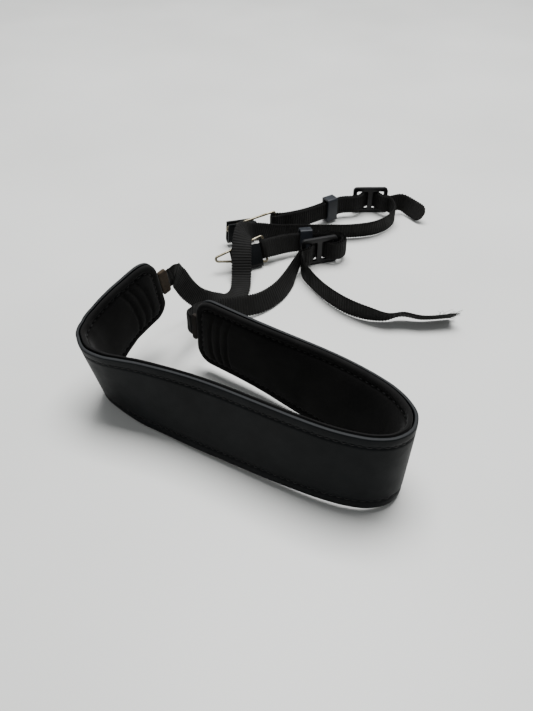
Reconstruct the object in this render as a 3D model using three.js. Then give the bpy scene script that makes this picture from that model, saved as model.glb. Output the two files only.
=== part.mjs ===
// Camera neck strap: a stitched leather neck pad on edge, with a narrow nylon strap sewn to each
// end. Each narrow strap runs through a three-bar slider and a keeper, round the wide end of a
// wire lug ring, and back, and a folded leather tab sits on the ring. Millimetres, +Z up.
import * as THREE from 'three';

// ---- Driving dimensions ------------------------------------------------------------------
const padLength = 342;
const padWidth = 38;
const leatherThickness = 1.8;
const liningThickness = 2.4;
const layerGap = 0.5;
const padCorner = 9;

const webWidth = 12;
const webThickness = 1.1;
const webPitch = 2.1;        // between the two layers of a doubled strap, middle to middle

// The raw leather tab between the pad and a narrow strap: how far it shows, and how far the
// strap runs on straight before it may bend. The right strap bends back close to the pad.
const endTabLength = { left: 5, right: 3 };
const straightStart = { left: 4, right: 1 };
const endTabWidth = 15;
const endTabThickness = 2;

const sliderLength = 23.4;
const sliderHeight = 18;
const sliderThickness = 2;
const sliderBar = 2.6;       // the bars at the two ends of a slider
const sliderMiddleBar = 3;
const sliderRail = 2.6;
const weave = 3.4;          // how far a strap swings as it passes over and under the bars

const keeperLength = 7.5;
const keeperWall = 1.3;
const keeperRoom = 0.8;      // clear space between a keeper and the strap inside it

const ringLength = 34;
const ringBase = 17;
const ringWire = 1.5;
const ringCorner = 2.2;
const ringTurn = 2.3;        // radius of the strap's middle line where it turns round the ring

const lugTabLength = 18.5;
const lugTabHeight = 14;
const lugTabWall = 1.5;
const lugTabSlot = 2.5;
const lugTabDrop = 2.9;      // how much lower than the ring a lug tab sits

// ---- Materials ---------------------------------------------------------------------------
function finish(color, roughness, metalness = 0) {
  return new THREE.MeshStandardMaterial({ color, roughness, metalness });
}
const blackLeather = finish(0x1c1e1f, 0.42);
const suede = finish(0x0c0c0d, 0.95);
const rawLeather = finish(0x4a3c2b, 0.8);
const nylon = finish(0x101010, 0.85);
const plastic = finish(0x15171a, 0.5);
const wire = finish(0x8a8468, 0.35, 1);

// ---- Routes ------------------------------------------------------------------------------
// A station is a place on a strap: its middle point, the direction along the strap, the
// direction across its width and the direction out of its face. Lean is the angle in degrees
// by which the width tips from upright towards the right-hand side of travel.
const up = new THREE.Vector3(0, 0, 1);

function stationAt(point, along, lean) {
  const side = new THREE.Vector3().crossVectors(along, up).normalize();
  const rise = new THREE.Vector3().crossVectors(side, along);
  const angle = THREE.MathUtils.degToRad(lean);
  const across = rise.multiplyScalar(Math.cos(angle)).addScaledVector(side, Math.sin(angle));
  const out = new THREE.Vector3().crossVectors(along, across);
  return { point, along, across, out, lean };
}

// Turns rows with x, y, z and lean into a smooth route that is read by distance from its start.
function routeThrough(rows) {
  const path = new THREE.CatmullRomCurve3(rows.map((row) => new THREE.Vector3(row.x, row.y, row.z)));
  path.arcLengthDivisions = rows.length * 40;
  const leans = new THREE.SplineCurve(rows.map((row, index) => new THREE.Vector2(index, row.lean)));
  const length = path.getLength();
  function at(distance) {
    const t = path.getUtoTmapping(THREE.MathUtils.clamp(distance / length, 0, 1));
    return stationAt(path.getPoint(t), path.getTangent(t), leans.getPoint(t).y);
  }
  return { length, at };
}

// Walks a strap of a set length through its folds: each row says how far along the strap it is,
// which way the strap heads there, seen from above, how high its middle is, and its lean.
function routeThroughFolds(start, folds) {
  const steps = 240;
  const step = padLength / steps;
  const at = new Array(steps + 1);
  function column(name) {
    return new THREE.SplineCurve(folds.map((fold) => new THREE.Vector2(fold.along, fold[name])));
  }
  const columns = { heading: column('heading'), height: column('height'), lean: column('lean') };
  function read(name, distance) {
    let row = 0;
    while (row < folds.length - 2 && folds[row + 1].along < distance) row += 1;
    const share = (distance - folds[row].along) / (folds[row + 1].along - folds[row].along);
    return columns[name].getPoint((row + share) / (folds.length - 1)).y;
  }
  const point = new THREE.Vector3(start.x, start.y, read('height', 0));
  for (let index = 0; index <= steps; index += 1) {
    const distance = index * step;
    at[index] = { x: point.x, y: point.y, z: point.z, lean: read('lean', distance) };
    const heading = THREE.MathUtils.degToRad(read('heading', distance + step / 2));
    const height = read('height', Math.min(distance + step, padLength));
    const flat = Math.sqrt(step ** 2 - (height - point.z) ** 2);
    point.set(point.x + flat * Math.cos(heading), point.y + flat * Math.sin(heading), height);
  }
  return routeThrough(at.filter((row, index) => index % 6 === 0));
}

// Bends a flat strip along part of a route. Its ends are rounded by the corner radius, and
// offset moves it out of the route's face.
function strip(route, size) {
  const { from, to, width, thickness, offset = 0, corner = 0, squareStart = false } = size;
  const length = to - from;
  const lengthSteps = Math.ceil(length / size.step);
  const geometry = new THREE.BoxGeometry(length, width, thickness, lengthSteps, size.widthSteps, 1);
  const place = geometry.getAttribute('position');
  for (let index = 0; index < place.count; index += 1) {
    const along = place.getX(index) + length / 2;
    const toEnd = squareStart ? length - along : Math.min(along, length - along);
    const short = Math.max(corner - toEnd, 0);
    const inset = corner - Math.sqrt(Math.max(corner ** 2 - short ** 2, 0));
    const narrow = 1 - (2 * inset) / width;
    const station = route.at(from + along);
    const spot = station.point.clone();
    spot.addScaledVector(station.across, place.getY(index) * narrow);
    spot.addScaledVector(station.out, place.getZ(index) + offset);
    place.setXYZ(index, spot.x, spot.y, spot.z);
  }
  geometry.computeVertexNormals();
  return geometry;
}

// ---- The strap as a group of named pieces --------------------------------------------------
const strap = new THREE.Group();

function addPiece(name, geometry, material) {
  const mesh = new THREE.Mesh(geometry, material);
  mesh.name = name;
  strap.add(mesh);
  return mesh;
}

// Stands a piece made in the X (along), Y (across) and Z (out) directions at a station.
function standAt(mesh, station, shift = 0) {
  const axes = new THREE.Matrix4().makeBasis(station.along, station.across, station.out);
  mesh.quaternion.setFromRotationMatrix(axes);
  mesh.position.copy(station.point).addScaledVector(station.out, shift);
}

// ---- Neck pad ------------------------------------------------------------------------------
const padStart = { x: -54, y: 10 };
const padFolds = [
  { along: 0, heading: -136, height: 38, lean: -5 },
  { along: 25, heading: -131, height: 31, lean: -2 },
  { along: 45, heading: -112, height: 23.5, lean: 8 },
  { along: 55, heading: -72, height: 21, lean: 12 },
  { along: 65, heading: -35, height: 20, lean: 12 },
  { along: 85, heading: -26, height: 19.6, lean: 0 },
  { along: 115, heading: -29, height: 20, lean: -8 },
  { along: 145, heading: -31, height: 21, lean: -8 },
  { along: 175, heading: -26, height: 22, lean: -6 },
  { along: 195, heading: -6, height: 22, lean: -5 },
  { along: 210, heading: 45, height: 21, lean: 0 },
  { along: 222, heading: 100, height: 20, lean: 8 },
  { along: 240, heading: 132, height: 19.6, lean: 14 },
  { along: 270, heading: 145, height: 21, lean: 12 },
  { along: 305, heading: 146, height: 23.5, lean: 2 },
  { along: padLength, heading: 146, height: 25, lean: 0 },
];
const padRoute = routeThroughFolds(padStart, padFolds);
const padThickness = leatherThickness + layerGap + liningThickness;
const padStrip = { from: 0, to: padRoute.length, width: padWidth, step: 3.6, widthSteps: 4 };
padStrip.corner = padCorner;

const leatherOffset = (padThickness - leatherThickness) / 2;
const leather = { ...padStrip, thickness: leatherThickness, offset: leatherOffset };
addPiece('neck_leather', strip(padRoute, leather), blackLeather);

const liningOffset = (liningThickness - padThickness) / 2;
const lining = { ...padStrip, thickness: liningThickness, offset: liningOffset };
addPiece('neck_lining', strip(padRoute, lining), suede);

// The raw leather tab at each end of the pad, and the first rows of the strap that leaves it.
// Facing is -1 at the start of the pad and 1 at its end.
function addEndTab(side, place, facing) {
  const end = padRoute.at(place);
  for (const direction of [end.along, end.out]) direction.multiplyScalar(facing);
  const tabLength = endTabLength[side];
  const outline = roundedBox(new THREE.Shape(), tabLength, endTabWidth, 1.2);
  const options = { depth: endTabThickness, bevelEnabled: false, curveSegments: 3 };
  const geometry = new THREE.ExtrudeGeometry(outline, options);
  geometry.translate(layerGap + tabLength / 2, 0, -endTabThickness / 2);
  standAt(addPiece(`${side}_end_tab`, geometry, rawLeather), end);
  return [0, straightStart[side]].map((distance) => {
    const past = 2 * layerGap + tabLength + distance;
    const spot = end.point.clone().addScaledVector(end.along, past);
    return { x: spot.x, y: spot.y, z: spot.z, lean: end.lean * facing };
  });
}

// ---- Sliders, keepers, lug rings and lug tabs ------------------------------------------------
function roundedBox(target, width, height, radius) {
  const right = width / 2;
  const top = height / 2;
  target.absarc(right - radius, top - radius, radius, 0, Math.PI / 2);
  target.absarc(radius - right, top - radius, radius, Math.PI / 2, Math.PI);
  target.absarc(radius - right, radius - top, radius, Math.PI, 1.5 * Math.PI);
  target.absarc(right - radius, radius - top, radius, 1.5 * Math.PI, 2 * Math.PI);
  target.closePath();
  return target;
}

// A slider is a flat frame with a bar at each end and one in the middle.
function sliderGeometry() {
  const frame = roundedBox(new THREE.Shape(), sliderLength, sliderHeight, 2.5);
  const slotLength = (sliderLength - 2 * sliderBar - sliderMiddleBar) / 2;
  const slotMiddle = (slotLength + sliderMiddleBar) / 2;
  for (const side of [-1, 1]) {
    const slot = roundedBox(new THREE.Path(), slotLength, sliderHeight - 2 * sliderRail, 0.8);
    const points = slot.getPoints(3);
    points.forEach((point) => { point.x += side * slotMiddle; });
    frame.holes.push(new THREE.Path(points));
  }
  const options = { depth: sliderThickness, bevelEnabled: false, curveSegments: 4 };
  return new THREE.ExtrudeGeometry(frame, options).translate(0, 0, -sliderThickness / 2);
}

// A keeper is a short sleeve round both layers of the strap.
function keeperGeometry() {
  const innerHeight = webWidth + 2 * keeperRoom;
  const innerDepth = webPitch + webThickness + 2 * keeperRoom;
  const outer = [innerDepth + 2 * keeperWall, innerHeight + 2 * keeperWall, 1.2];
  const wall = roundedBox(new THREE.Shape(), ...outer);
  wall.holes.push(roundedBox(new THREE.Path(), innerDepth, innerHeight, 0.4));
  const options = { depth: keeperLength, bevelEnabled: false, curveSegments: 3 };
  const geometry = new THREE.ExtrudeGeometry(wall, options).translate(0, 0, -keeperLength / 2);
  return geometry.rotateY(Math.PI / 2);
}

// A lug ring is a long triangle of wire, its narrow nose at -X and its straight base at x = 0.
function ringOutline(target, inset) {
  const half = ringBase / 2 - inset;
  const corner = ringCorner - inset;
  const slope = Math.atan2(ringBase / 2 - ringCorner, ringLength - 2 * ringCorner);
  const baseX = -ringCorner;
  const noseX = ringCorner - ringLength;
  const turn = Math.PI / 2 + slope;
  target.absarc(baseX, half - corner, corner, 0, turn);
  target.absarc(noseX, 0, corner, turn, 2 * Math.PI - turn);
  target.absarc(baseX, corner - half, corner, -turn, 0);
  target.closePath();
  return target;
}

function ringGeometry() {
  const round = 0.35;
  const outline = ringOutline(new THREE.Shape(), round);
  outline.holes.push(ringOutline(new THREE.Path(), ringWire - round));
  const depth = ringWire - 2 * round;
  const bevel = { bevelThickness: round, bevelSize: round, bevelSegments: 1 };
  const options = { depth, curveSegments: 6, ...bevel };
  return new THREE.ExtrudeGeometry(outline, options).translate(0, 0, -depth / 2);
}

// A lug tab is leather folded into a U round the ring, its fold below and its top open.
function lugTabGeometry() {
  const depth = lugTabSlot + 2 * lugTabWall;
  const bottom = -lugTabHeight / 2;
  const top = lugTabHeight / 2;
  const outerRadius = depth / 2;
  const innerRadius = lugTabSlot / 2;
  const section = new THREE.Shape();
  section.moveTo(outerRadius, top);
  section.lineTo(innerRadius, top);
  section.absarc(0, bottom + outerRadius, innerRadius, 2 * Math.PI, Math.PI, true);
  section.lineTo(-innerRadius, top);
  section.lineTo(-outerRadius, top);
  section.absarc(0, bottom + outerRadius, outerRadius, Math.PI, 2 * Math.PI);
  section.closePath();
  const options = { depth: lugTabLength, bevelEnabled: false, curveSegments: 8 };
  const geometry = new THREE.ExtrudeGeometry(section, options).translate(0, 0, -lugTabLength / 2);
  return geometry.rotateY(Math.PI / 2);
}

// ---- Narrow straps ---------------------------------------------------------------------------
// run: from the pad end to the slider. loop: from the slider to the wide end of the ring, the
// middle of the doubled strap. tail: from the slider to the free end.
function narrowStrap(side, plan) {
  const loop = routeThrough(plan.loop);
  const sliderAt = sliderLength / 2 + 2;
  const sliderReach = sliderLength / 2 - sliderBar / 2;
  const swing = plan.swing;

  // How far a layer stands off the middle of the doubled strap: half the pitch, and the swing
  // over and under the slider's bars.
  function standOff(distance, layer) {
    const fromSlider = Math.abs(distance - sliderAt) / sliderReach;
    const over = fromSlider < 1.5 ? Math.cos(Math.PI * Math.min(fromSlider, 1)) : -1;
    const fade = THREE.MathUtils.smoothstep(fromSlider, 1.15, 2.3);
    return (layer * webPitch) / 2 + swing * weave * over * (1 - fade);
  }

  function layerRow(distance, layer) {
    const station = loop.at(distance);
    const spot = station.point.addScaledVector(station.out, standOff(distance, layer));
    return { x: spot.x, y: spot.y, z: spot.z, lean: station.lean * (layer === plan.first ? 1 : -1) };
  }

  const distances = [];
  for (let distance = 0; distance < loop.length - 5; distance += 2.4) distances.push(distance);
  const outward = distances.map((distance) => layerRow(distance, plan.first));
  const inward = distances.map((distance) => layerRow(distance, -plan.first)).reverse();

  const end = loop.at(loop.length);
  const turn = [];
  for (const angle of [-90, -45, 0, 45, 90]) {
    const spin = THREE.MathUtils.degToRad(angle);
    const spot = end.point.clone().addScaledVector(end.along, ringTurn * Math.cos(spin));
    spot.addScaledVector(end.out, -plan.first * ringTurn * Math.sin(spin));
    turn.push({ x: spot.x, y: spot.y, z: spot.z, lean: (-end.lean * angle) / 90 });
  }
  const route = routeThrough([...plan.start, ...plan.run, ...outward, ...turn, ...inward, ...plan.tail]);
  const size = { from: 0, to: route.length, width: webWidth, thickness: webThickness };
  const cut = { corner: plan.tailCorner, squareStart: true, step: 2.6, widthSteps: 2 };
  addPiece(`${side}_webbing`, strip(route, { ...size, ...cut }), nylon);

  const slider = addPiece(`${side}_slider`, sliderGeometry(), plastic);
  standAt(slider, loop.at(sliderAt));
  const keeper = addPiece(`${side}_keeper`, keeperGeometry(), plastic);
  standAt(keeper, loop.at(plan.keeperAt));

  const ring = addPiece(`${side}_lug_ring`, ringGeometry(), wire);
  const nose = { ...end, along: end.along.clone().negate(), out: end.out.clone().negate() };
  standAt(ring, nose);
  ring.position.addScaledVector(end.along, -ringWire / 2);
  const tab = addPiece(`${side}_lug_tab`, lugTabGeometry(), blackLeather);
  standAt(tab, nose);
  tab.position.addScaledVector(end.along, plan.tabShift).addScaledVector(end.across, -lugTabDrop);
}

const leftPlan = {
  start: addEndTab('left', 0, -1),
  swing: 1,
  first: -1,
  tailCorner: 5.5,
  keeperAt: 45,
  tabShift: 23,
  run: [
    { x: -45.5, y: 21.5, z: 34.5, lean: 12 },
    { x: -42, y: 28.5, z: 22, lean: 6 },
    { x: -36.5, y: 36, z: 11, lean: -12 },
    { x: -29, y: 42, z: 5, lean: -50 },
    { x: -21, y: 47.5, z: 2.4, lean: -80 },
    { x: -16, y: 57, z: 1.4, lean: -90 },
    { x: -15, y: 68, z: 4, lean: -90 },
    { x: -15, y: 78, z: 14, lean: -88 },
    { x: -14.5, y: 87, z: 19.5, lean: -72 },
    { x: -13.5, y: 95, z: 20.5, lean: -42 },
    { x: -10, y: 102.5, z: 15, lean: -18 },
    { x: -3, y: 109, z: 11, lean: -4 },
    { x: 7, y: 114.5, z: 7.4, lean: 5 },
    { x: 22, y: 117.5, z: 6.3, lean: 10 },
    { x: 38, y: 118, z: 6.1, lean: 12 },
    { x: 55, y: 118.5, z: 6.1, lean: 12 },
    { x: 70, y: 122, z: 6.2, lean: 8 },
    { x: 80, y: 129.5, z: 6.4, lean: 2 },
    { x: 85.5, y: 139, z: 7.4, lean: 0 },
  ],
  loop: [
    { x: 84, y: 152, z: 9.2, lean: 0 },
    { x: 71, y: 155, z: 9.2, lean: 0 },
    { x: 58, y: 152, z: 9.2, lean: 0 },
    { x: 42, y: 142.5, z: 9.2, lean: 0 },
    { x: 28, y: 133.5, z: 8.8, lean: 0 },
    { x: 16, y: 127, z: 9.2, lean: 0 },
    { x: 5, y: 122.5, z: 10, lean: 0 },
  ],
  tail: [
    { x: 92, y: 153.5, z: 8, lean: -10 },
    { x: 98.5, y: 148, z: 6.6, lean: -28 },
    { x: 105, y: 138.5, z: 5.8, lean: -36 },
  ],
};
narrowStrap('left', leftPlan);

const rightPlan = {
  start: addEndTab('right', padRoute.length, 1),
  swing: -1,
  first: -1,
  tailCorner: 0,
  keeperAt: 54,
  tabShift: 13,
  run: [
    { x: -39.5, y: -1.5, z: 24.5, lean: 0 },
    { x: -37.5, y: 4, z: 23, lean: -4 },
    { x: -33.5, y: 14, z: 18, lean: -10 },
    { x: -27, y: 23.5, z: 12.5, lean: -16 },
    { x: -15, y: 32, z: 8.2, lean: -24 },
    { x: -3, y: 39.5, z: 6.2, lean: -28 },
    { x: 6.5, y: 50, z: 5.8, lean: -28 },
    { x: 13, y: 63, z: 5.8, lean: -24 },
    { x: 17, y: 74, z: 7, lean: -10 },
  ],
  loop: [
    { x: 20, y: 83.5, z: 9.2, lean: 0 },
    { x: 31, y: 89, z: 9.2, lean: 0 },
    { x: 42, y: 92.5, z: 9.2, lean: 0 },
    { x: 46, y: 97.5, z: 9.2, lean: 0 },
    { x: 40, y: 102, z: 9.2, lean: 2 },
    { x: 27, y: 102, z: 8.6, lean: 10 },
    { x: 13, y: 98.5, z: 9, lean: 24 },
    { x: -1, y: 92, z: 9.2, lean: 32 },
  ],
  tail: [
    { x: 22, y: 72, z: 7, lean: -4 },
    { x: 27, y: 61, z: 6.2, lean: 0 },
    { x: 34.5, y: 48, z: 6.2, lean: 2 },
    { x: 45, y: 36, z: 6.2, lean: 4 },
    { x: 56, y: 29, z: 6.2, lean: 14 },
    { x: 66, y: 26.5, z: 5.6, lean: 32 },
    { x: 75, y: 27.5, z: 6.6, lean: 42 },
    { x: 86, y: 26, z: 5.4, lean: 44 },
    { x: 103, y: 28, z: 5.2, lean: 42 },
  ],
};
narrowStrap('right', rightPlan);

// ---- Place the whole strap with the middle of its underside at the origin --------------------
const bounds = new THREE.Box3().setFromObject(strap, true);
const middle = bounds.getCenter(new THREE.Vector3());
strap.position.set(-middle.x, -middle.y, -bounds.min.z);

export default strap;
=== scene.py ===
# %% [markdown]
# # A camera neck strap
# The strap lies as it was set down: a leather neck pad standing on its edge, and two narrow
# nylon straps with their sliders, keepers and wire rings. The packed model gives every piece's
# true place. This lesson builds the surfaces that a person would see and touch around it.

# %% Load the frame
import math
import bmesh
import bpy
import numpy as np
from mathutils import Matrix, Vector


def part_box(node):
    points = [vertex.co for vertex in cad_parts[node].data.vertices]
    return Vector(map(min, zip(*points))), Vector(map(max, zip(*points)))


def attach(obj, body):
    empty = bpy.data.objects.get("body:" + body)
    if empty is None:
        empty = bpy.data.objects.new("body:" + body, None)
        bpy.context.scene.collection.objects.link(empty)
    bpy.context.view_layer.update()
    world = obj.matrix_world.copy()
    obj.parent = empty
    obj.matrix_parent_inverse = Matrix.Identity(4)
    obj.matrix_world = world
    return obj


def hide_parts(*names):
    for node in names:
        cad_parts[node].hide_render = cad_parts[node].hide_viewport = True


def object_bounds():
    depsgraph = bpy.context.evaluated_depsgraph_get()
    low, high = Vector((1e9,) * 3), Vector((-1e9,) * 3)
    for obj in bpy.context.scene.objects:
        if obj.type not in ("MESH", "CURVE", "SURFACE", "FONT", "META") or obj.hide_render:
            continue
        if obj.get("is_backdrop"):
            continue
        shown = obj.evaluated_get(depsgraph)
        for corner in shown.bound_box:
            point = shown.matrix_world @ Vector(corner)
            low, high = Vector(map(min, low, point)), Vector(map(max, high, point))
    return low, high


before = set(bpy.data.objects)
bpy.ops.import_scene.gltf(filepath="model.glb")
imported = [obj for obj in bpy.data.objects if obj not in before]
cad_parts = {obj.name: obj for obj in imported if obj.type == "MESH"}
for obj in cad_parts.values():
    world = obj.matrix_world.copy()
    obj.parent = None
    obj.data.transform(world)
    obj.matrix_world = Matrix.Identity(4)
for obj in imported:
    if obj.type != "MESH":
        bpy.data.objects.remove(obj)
cad_low, cad_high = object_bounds()
MM = 0.001
print("frame box, mm:", [round(v / MM, 1) for v in (*cad_low, *cad_high)])

# %% [markdown]
# ## Reading a curve by distance
# A strap is one flat ribbon that turns and twists. Blender's own curves can carry a ribbon, but
# a twist that has to match the packed solids is easier to control in plain arithmetic: a smooth
# curve through a few rows gives the middle line, and a lean angle says how the width tips.

# %% A smooth curve through rows
UP = np.array([0.0, 0.0, 1.0])


def smooth_column(values, place):
    """Reads a column of row values at fractional row numbers, with an even smooth curve."""
    values = np.asarray(values, float)
    last = len(values) - 1
    row = np.clip(np.floor(place).astype(int), 0, last - 1)
    share = place - row
    p0, p1 = values[np.maximum(row - 1, 0)], values[row]
    p2, p3 = values[row + 1], values[np.minimum(row + 2, last)]
    v0, v1 = (p2 - p0) / 2, (p3 - p1) / 2
    cubic = (2 * p1 - 2 * p2 + v0 + v1) * share**3
    return cubic + (3 * p2 - 3 * p1 - 2 * v0 - v1) * share**2 + v0 * share + p1


def unit(vectors):
    return vectors / np.linalg.norm(vectors, axis=-1, keepdims=True)


print("middle of two rows:", smooth_column([0, 10], np.array([0.5])))

# %% [markdown]
# A route answers one question: where is the strap, and which way does it face, at a distance from
# its start. Uneven rows would make a plain curve bulge between them, so the curve's pace follows
# the square root of the gaps, which keeps tight turns tight.

# %% A ribbon's route
CUTS_PER_ROW = 40
TINY = 1e-4


class Route:
    """A middle line through rows of x, y, z and lean, in millimetres, read by distance."""

    def __init__(self, rows):
        self.rows = np.asarray(rows, float)
        ends = [2 * self.rows[0, :3] - self.rows[1, :3], 2 * self.rows[-1, :3] - self.rows[-2, :3]]
        self.guides = np.vstack([ends[0], self.rows[:, :3], ends[1]])
        self.shares = np.linspace(0, 1, len(self.rows) * CUTS_PER_ROW + 1)
        steps = np.linalg.norm(np.diff(self.points(self.shares), axis=0), axis=1)
        self.travelled = np.concatenate([[0], np.cumsum(steps)])
        self.length = self.travelled[-1]

    def points(self, share):
        """Points of the middle line at shares of its rows, from 0 at the first to 1 at the last."""
        place = np.clip(share, 0, 1) * (len(self.rows) - 1)
        row = np.clip(np.floor(place).astype(int), 0, len(self.rows) - 2)
        t = (place - row)[:, None]
        x0, x1, x2, x3 = (self.guides[row + k] for k in range(4))
        gaps = ((x0, x1), (x1, x2), (x2, x3))
        d0, d1, d2 = (np.linalg.norm(b - a, axis=1)[:, None] ** 0.5 for a, b in gaps)
        d1 = np.where(d1 < TINY, 1, d1)
        d0, d2 = np.where(d0 < TINY, d1, d0), np.where(d2 < TINY, d1, d2)
        v1 = ((x1 - x0) / d0 - (x2 - x0) / (d0 + d1) + (x2 - x1) / d1) * d1
        v2 = ((x2 - x1) / d1 - (x3 - x1) / (d1 + d2) + (x3 - x2) / d2) * d1
        squared = -3 * x1 + 3 * x2 - 2 * v1 - v2
        cubed = 2 * x1 - 2 * x2 + v1 + v2
        return x1 + v1 * t + squared * t**2 + cubed * t**3

    def at(self, distance):
        """Middle point, and the directions along, across and out of the ribbon's face."""
        distance = np.atleast_1d(np.asarray(distance, float))
        share = np.interp(distance, self.travelled, self.shares)
        along = unit(self.points(share + TINY) - self.points(share - TINY))
        lean = np.radians(smooth_column(self.rows[:, 3], share * (len(self.rows) - 1)))[:, None]
        side = unit(np.cross(along, UP))
        across = np.cross(side, along) * np.cos(lean) + side * np.sin(lean)
        return self.points(share), along, across, np.cross(along, across)


print("straight route of two rows, mm:", Route([(0, 0, 0, 0), (30, 40, 0, 0)]).length)

# %% [markdown]
# ## The neck pad's folds
# The pad keeps its length however it is bent, so it is walked rather than drawn: each row says
# which way it heads, how high its middle line is, and how it leans at a distance from its start.

# %% The pad's route
PAD_LENGTH, PAD_WIDTH, PAD_CORNER = 342, 38, 9
LEATHER, LINING, LAYER_GAP = 1.8, 2.4, 0.5
PAD_START = (-54, 10)
# distance, heading, height, lean
PAD_FOLDS = np.array([
    (0, -136, 38, -5),
    (25, -131, 31, -2),
    (45, -112, 23.5, 8),
    (55, -72, 21, 12),
    (65, -35, 20, 12),
    (85, -26, 19.6, 0),
    (115, -29, 20, -8),
    (145, -31, 21, -8),
    (175, -26, 22, -6),
    (195, -6, 22, -5),
    (210, 45, 21, 0),
    (222, 100, 20, 8),
    (240, 132, 19.6, 14),
    (270, 145, 21, 12),
    (305, 146, 23.5, 2),
    (PAD_LENGTH, 146, 25, 0),
])


WALK_STEPS = 240
KEPT_STEPS = 6


def walk_pad():
    """Walks the pad in short even steps and keeps every few of them as rows of its route."""
    step = PAD_LENGTH / WALK_STEPS
    along = PAD_FOLDS[:, 0]
    rows = np.arange(len(along))

    def read(column, distance):
        place = np.interp(distance, along, rows)
        return smooth_column(PAD_FOLDS[:, column], np.array([place]))[0]

    x, y = PAD_START
    z = read(2, 0)
    walked = []
    for index in range(WALK_STEPS + 1):
        distance = index * step
        walked.append((x, y, z, read(3, distance)))
        heading = math.radians(read(1, distance + step / 2))
        height = read(2, min(distance + step, PAD_LENGTH))
        flat = math.sqrt(step**2 - (height - z) ** 2)
        x, y, z = x + flat * math.cos(heading), y + flat * math.sin(heading), height
    return Route(walked[::KEPT_STEPS])


pad = walk_pad()
print("pad length, mm:", round(pad.length, 1))

# %% [markdown]
# The rows are written from the strap's own starting point, and the packed model has its own
# origin. The leather's outline is worked out once here, and its lowest corner is compared with the
# packed leather's: the difference is one shift, which later carries every piece into the frame.

# %% The shift into the frame
LEATHER_OFFSET = (LAYER_GAP + LINING) / 2
LINING_OFFSET = -(LAYER_GAP + LEATHER) / 2
PACKED_STEP = 3.6


def corner_inset(distance, length, corner):
    """How far a rounded end draws each edge in at a distance along a piece."""
    short = np.maximum(corner - np.minimum(distance, length - distance), 0)
    return corner - np.sqrt(np.maximum(corner**2 - short**2, 0))


def leather_low_corner():
    """Lowest corner of the leather's four long edges, read at the packed solid's own steps."""
    stations = np.linspace(0, pad.length, math.ceil(pad.length / PACKED_STEP) + 1)
    middle, _, across, out = pad.at(stations)
    half = PAD_WIDTH / 2 - corner_inset(stations, pad.length, PAD_CORNER)
    edges = [
        middle + across * half[:, None] * side + out * (LEATHER_OFFSET + face * LEATHER / 2)
        for side in (-1, 1)
        for face in (-1, 1)
    ]
    return np.vstack(edges).min(0)


SHIFT = np.array(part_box("neck_leather")[0]) / MM - leather_low_corner()
print("frame shift, mm:", np.round(SHIFT, 2))

# %% [markdown]
# ## Camera
# The camera comes before the looks so that every later choice is judged through it. It looks
# down at forty degrees from a little over a third of a metre, as a person at a table would.

# %% Camera
VIEW_DOWN = 40
VIEW_DISTANCE = 380
SENSOR_WIDTH = 36
FOCAL_SHARE = 720 / 711
NEAREST_SEEN = 0.01


def add_camera():
    data = bpy.data.cameras.new("view")
    data.sensor_width = SENSOR_WIDTH
    data.lens = SENSOR_WIDTH * FOCAL_SHARE
    data.clip_start = NEAREST_SEEN
    camera = bpy.data.objects.new("view", data)
    down = math.radians(VIEW_DOWN)
    eye = SHIFT + VIEW_DISTANCE * np.array([0, -math.cos(down), math.sin(down)])
    camera.location = eye * MM
    camera.rotation_euler = (math.pi / 2 - down, 0, 0)
    bpy.context.scene.collection.objects.link(camera)
    bpy.context.scene.camera = camera
    return camera


print("camera at", [round(v, 3) for v in add_camera().location])

# %% [markdown]
# ## Meshes from sections
# Most pieces here are one section carried along a route: a strap, a wire, a thread. One helper
# joins rings of points into a closed skin, and another hands the result to Blender with a
# material, a body to ride on and the packed piece that it stands for.

# %% Helpers that make pieces
def skin_rings(rings, looped=False):
    """Skin through rings of points, capped at both ends, or joined end to start if looped."""
    rings = np.asarray(rings, float)
    count, around = rings.shape[:2]
    row, spot = np.meshgrid(np.arange(count if looped else count - 1), np.arange(around), indexing="ij")
    next_row, next_spot = (row + 1) % count, (spot + 1) % around
    corners = ((row, spot), (row, next_spot), (next_row, next_spot), (next_row, spot))
    faces = np.stack([r * around + k for r, k in corners], -1).reshape(-1, 4).tolist()
    if not looped:
        faces += [list(range(around))[::-1], [(count - 1) * around + k for k in range(around)]]
    return rings.reshape(-1, 3), faces


def join_parts(parts):
    """Several (points, faces) parts as one."""
    points, faces, base = [], [], 0
    for part_points, part_faces in parts:
        points.append(part_points)
        faces += [[index + base for index in face] for face in part_faces]
        base += len(part_points)
    return np.vstack(points), faces


def turn_faces_out(mesh):
    work = bmesh.new()
    work.from_mesh(mesh)
    bmesh.ops.recalc_face_normals(work, faces=work.faces)
    work.to_mesh(mesh)
    work.free()


def hand_over(name, mesh, stands_for):
    """Puts a mesh in the scene on its body, in the place of the packed piece it stands for."""
    mesh.polygons.foreach_set("use_smooth", [True] * len(mesh.polygons))
    piece = bpy.data.objects.new(name, mesh)
    bpy.context.scene.collection.objects.link(piece)
    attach(piece, "root")
    if stands_for:
        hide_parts(stands_for)
    print(name, "faces:", len(mesh.polygons))
    return piece


def add_piece(name, points, faces, material, stands_for=None, flat=None):
    """A finished piece from points in route millimetres. flat holds each point's place on the
    unrolled piece, which the nylon's threads follow."""
    mesh = bpy.data.meshes.new(name)
    mesh.from_pydata(((points + SHIFT) * MM).tolist(), [], faces)
    if flat is not None:
        layer = mesh.uv_layers.new(name="flat")
        corners = np.empty(len(mesh.loops), np.int32)
        mesh.loops.foreach_get("vertex_index", corners)
        layer.data.foreach_set("uv", np.asarray(flat, np.float32)[corners].ravel())
    mesh.validate()
    mesh.update()
    turn_faces_out(mesh)
    mesh.materials.append(material)
    return hand_over(name, mesh, stands_for)


square = [[(x, y, z) for x, y in ((0, 0), (1, 0), (1, 1), (0, 1))] for z in (0, 1)]
print("a skinned cube has faces:", len(skin_rings(square)[1]))

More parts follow.
